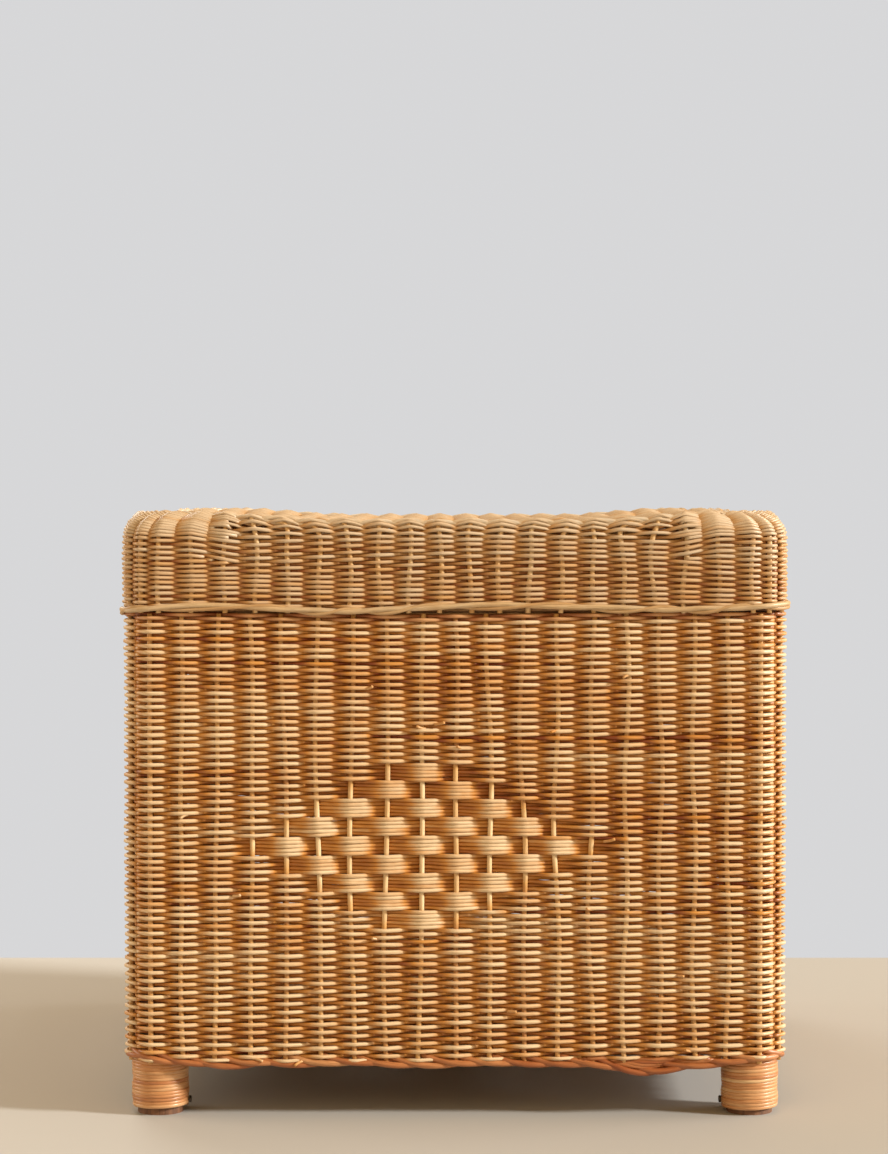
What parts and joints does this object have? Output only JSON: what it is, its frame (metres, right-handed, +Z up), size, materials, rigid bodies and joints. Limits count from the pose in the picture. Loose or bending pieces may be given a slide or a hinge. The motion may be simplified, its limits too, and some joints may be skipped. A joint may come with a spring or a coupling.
{
  "type": "wicker storage trunk",
  "caption": "Square wicker storage trunk on short cane-wound legs, with a hinged wicker lid and a diamond pattern woven into its front.",
  "frame": {"origin": "on the ground under the middle of the trunk", "axes": "+Z up, the front faces -Y, +X to the right of someone looking at the front; the lid's hinges are at +Y"},
  "size_m": [0.457, 0.4611, 0.408],
  "materials": {
    "body_reed": "woven round reed, honey brown, lightly varnished",
    "stake_reed": "round reed, pale",
    "lid_reed": "woven round reed, faded to beige",
    "lid_cane": "thicker cane, faded",
    "border_reed": "plaited reed border, rust brown",
    "leg_cane": "split cane winding, satin",
    "pole": "dark stained pole with bare end grain",
    "frame_timber": "sawn softwood, unvarnished",
    "hinge_steel": "dull plated steel",
    "tack_steel": "blued steel tack"
  },
  "bodies": {
    "trunk_body": {"corner_post_front_left": "pole", "corner_post_front_right": "pole", "corner_post_back_right": "pole", "corner_post_back_left": "pole", "bottom_rail_front": "frame_timber", "bottom_rail_right": "frame_timber", "bottom_rail_back": "frame_timber", "bottom_rail_left": "frame_timber", "top_rail_front": "frame_timber", "top_rail_right": "frame_timber", "top_rail_back": "frame_timber", "top_rail_left": "frame_timber", "frame_dowels": "frame_timber", "leg_wrap_front_left": "leg_cane", "leg_wrap_front_right": "leg_cane", "leg_wrap_back_right": "leg_cane", "leg_wrap_back_left": "leg_cane", "leg_tacks": "tack_steel", "floor_slats": "frame_timber", "floor_mat": "body_reed", "wall_weave_front": "body_reed", "wall_weave_right": "body_reed", "wall_weave_back": "body_reed", "wall_weave_left": "body_reed", "wall_stakes_front": "stake_reed", "wall_stakes_right": "stake_reed", "wall_stakes_back": "stake_reed", "wall_stakes_left": "stake_reed", "foot_border": "border_reed", "body_rim": "border_reed", "hinge_body_leaf_left": "hinge_steel", "hinge_pin_left": "hinge_steel", "hinge_body_leaf_right": "hinge_steel", "hinge_pin_right": "hinge_steel", "hinge_screws_body": "hinge_steel"},
    "lid": {"lid_post_front_left": "pole", "lid_post_front_right": "pole", "lid_post_back_right": "pole", "lid_post_back_left": "pole", "lid_lower_rail_front": "frame_timber", "lid_lower_rail_right": "frame_timber", "lid_lower_rail_back": "frame_timber", "lid_lower_rail_left": "frame_timber", "lid_upper_rail_front": "frame_timber", "lid_upper_rail_right": "frame_timber", "lid_upper_rail_back": "frame_timber", "lid_upper_rail_left": "frame_timber", "lid_dowels": "frame_timber", "lid_slats": "frame_timber", "lid_weave_front": "lid_reed", "lid_weave_right": "lid_reed", "lid_weave_back": "lid_reed", "lid_weave_left": "lid_reed", "lid_stakes": "stake_reed", "lid_top_weave": "lid_reed", "lid_edge_rod": "lid_cane", "lid_top_wale": "lid_cane", "hinge_lid_leaf_left": "hinge_steel", "hinge_lid_leaf_right": "hinge_steel", "hinge_screws_lid": "hinge_steel"}
  },
  "joints": [
    {"name": "lid_hinge", "type": "hinge", "parent": "trunk_body", "child": "lid", "pos_m": [0, 0.2298, 0.34115], "axis": [-1, 0, 0], "range_deg": [0, 105]}
  ]
}
